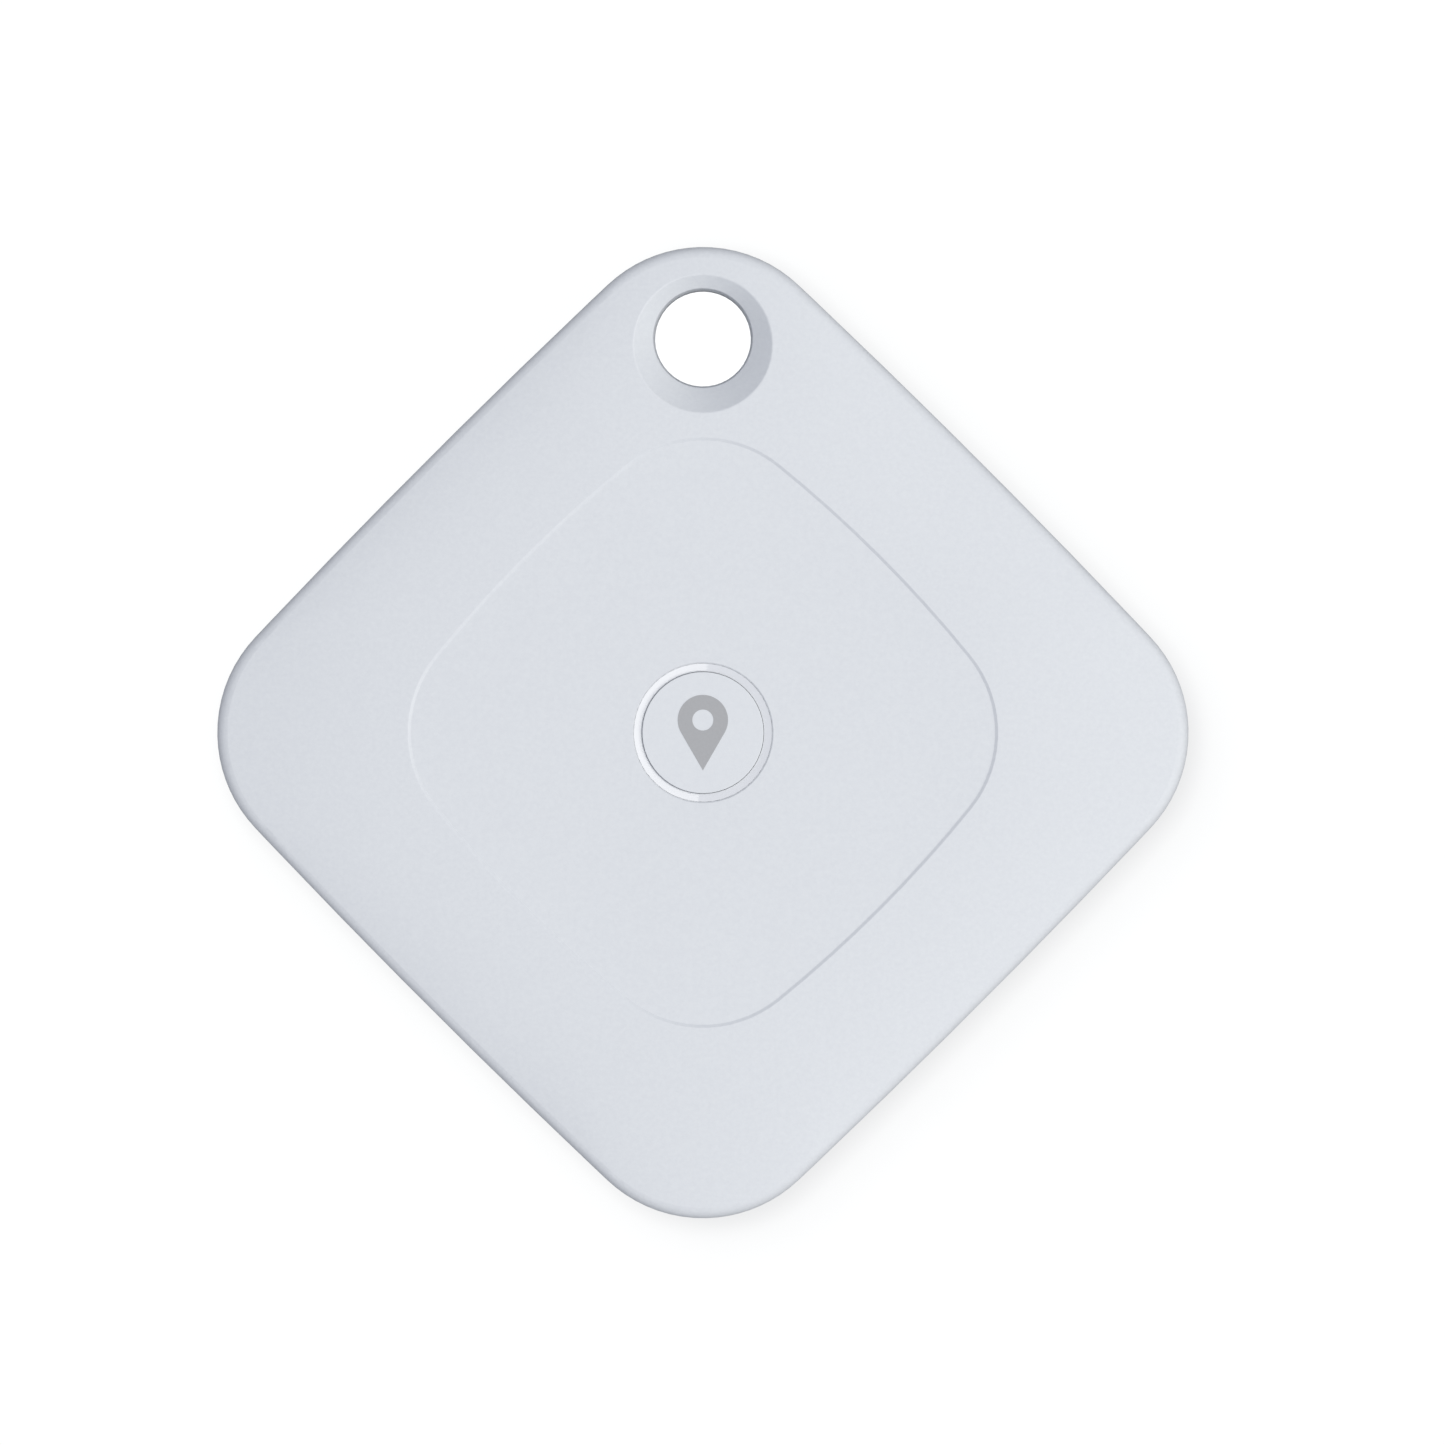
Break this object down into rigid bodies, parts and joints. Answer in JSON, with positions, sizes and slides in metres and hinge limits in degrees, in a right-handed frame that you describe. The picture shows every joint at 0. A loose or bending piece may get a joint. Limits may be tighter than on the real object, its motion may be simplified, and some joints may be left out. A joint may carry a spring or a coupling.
{
  "type": "bluetooth tracker tag",
  "caption": "Square domed item-finder tag with a corner key-ring hole, a centre press button in a dished ring and a turn-to-open rear coin-cell door.",
  "frame": {"origin": "centre of the flat rear face", "axes": "+Z out of the button side, +Y from the button to the key-ring hole, +X to the right of the button seen from the front"},
  "size_m": [0.045, 0.045, 0.008],
  "materials": {
    "front_shell": "fine matte moulded ABS",
    "rear_shell": "fine matte moulded ABS",
    "shell_gasket": "silicone cord",
    "button_ring": "polished milky acrylic",
    "button_seal": "moulded silicone",
    "main_board": "solder-masked glass epoxy",
    "battery_frame": "glass-filled nylon",
    "frame_screws": "zinc-plated steel",
    "positive_contact": "nickel-plated spring steel",
    "negative_contact": "nickel-plated spring steel",
    "coin_cell_can": "brushed stainless steel",
    "coin_cell_cap": "stainless steel",
    "coin_cell_gasket": "polypropylene",
    "cell_cathode": "pressed manganese dioxide powder",
    "cell_separator": "non-woven film",
    "cell_anode": "lithium metal",
    "radio_chip": "moulded epoxy",
    "radio_crystal": "seam-welded metal lid",
    "clock_crystal": "seam-welded metal lid",
    "motion_sensor": "moulded epoxy",
    "inductor": "ferrite",
    "chip_antenna": "fired ceramic with silver ends",
    "capacitors": "fired ceramic with tinned ends",
    "resistors": "glazed alumina with tinned ends",
    "switch_base": "moulded nylon",
    "switch_cover": "stamped steel",
    "switch_dome": "spring steel",
    "piezo_plate": "rolled brass",
    "piezo_ceramic": "silvered ceramic",
    "piezo_adhesive": "soft adhesive bead",
    "piezo_springs": "gold-plated spring strip",
    "button_cap": "fine matte moulded ABS, printed mark",
    "switch_plunger": "moulded nylon",
    "door_o_ring": "nitrile cord",
    "battery_door": "fine matte moulded ABS"
  },
  "bodies": {
    "housing": {"front_shell": "front_shell", "rear_shell": "rear_shell", "shell_gasket": "shell_gasket", "button_ring": "button_ring", "button_seal": "button_seal", "main_board": "main_board", "battery_frame": "battery_frame", "frame_screws": "frame_screws", "positive_contact": "positive_contact", "negative_contact": "negative_contact", "coin_cell_can": "coin_cell_can", "coin_cell_cap": "coin_cell_cap", "coin_cell_gasket": "coin_cell_gasket", "cell_cathode": "cell_cathode", "cell_separator": "cell_separator", "cell_anode": "cell_anode", "radio_chip": "radio_chip", "radio_crystal": "radio_crystal", "clock_crystal": "clock_crystal", "motion_sensor": "motion_sensor", "inductor": "inductor", "chip_antenna": "chip_antenna", "capacitors": "capacitors", "resistors": "resistors", "switch_base": "switch_base", "switch_cover": "switch_cover", "switch_dome": "switch_dome", "piezo_plate": "piezo_plate", "piezo_ceramic": "piezo_ceramic", "piezo_adhesive": "piezo_adhesive", "piezo_springs": "piezo_springs"},
    "button": {"button_cap": "button_cap"},
    "plunger": {"switch_plunger": "switch_plunger"},
    "door_seal": {"door_o_ring": "door_o_ring"},
    "battery_door": {"battery_door": "battery_door"}
  },
  "joints": [
    {"name": "button_press", "type": "slide", "parent": "housing", "child": "button", "axis": [0, 0, -1], "range_m": [0, 0.0002], "stiffness_N_per_m": 6000, "deforming": ["button_seal", "switch_dome"]},
    {"name": "plunger_press", "type": "slide", "parent": "housing", "child": "plunger", "axis": [0, 0, -1], "range_m": [0, 0.0002]},
    {"name": "door_lift", "type": "slide", "parent": "housing", "child": "door_seal", "axis": [0, 0, -1], "range_m": [0, 0.0015]},
    {"name": "door_turn", "type": "hinge", "parent": "door_seal", "child": "battery_door", "pos_m": [0, 0, 0], "axis": [0, 0, -1], "range_deg": [0, 60]}
  ],
  "couplings": [
    {"joint": "plunger_press", "follows": "button_press", "ratio": 1},
    {"joint": "door_turn", "follows": "door_lift", "rad_per_m": 698.13}
  ]
}
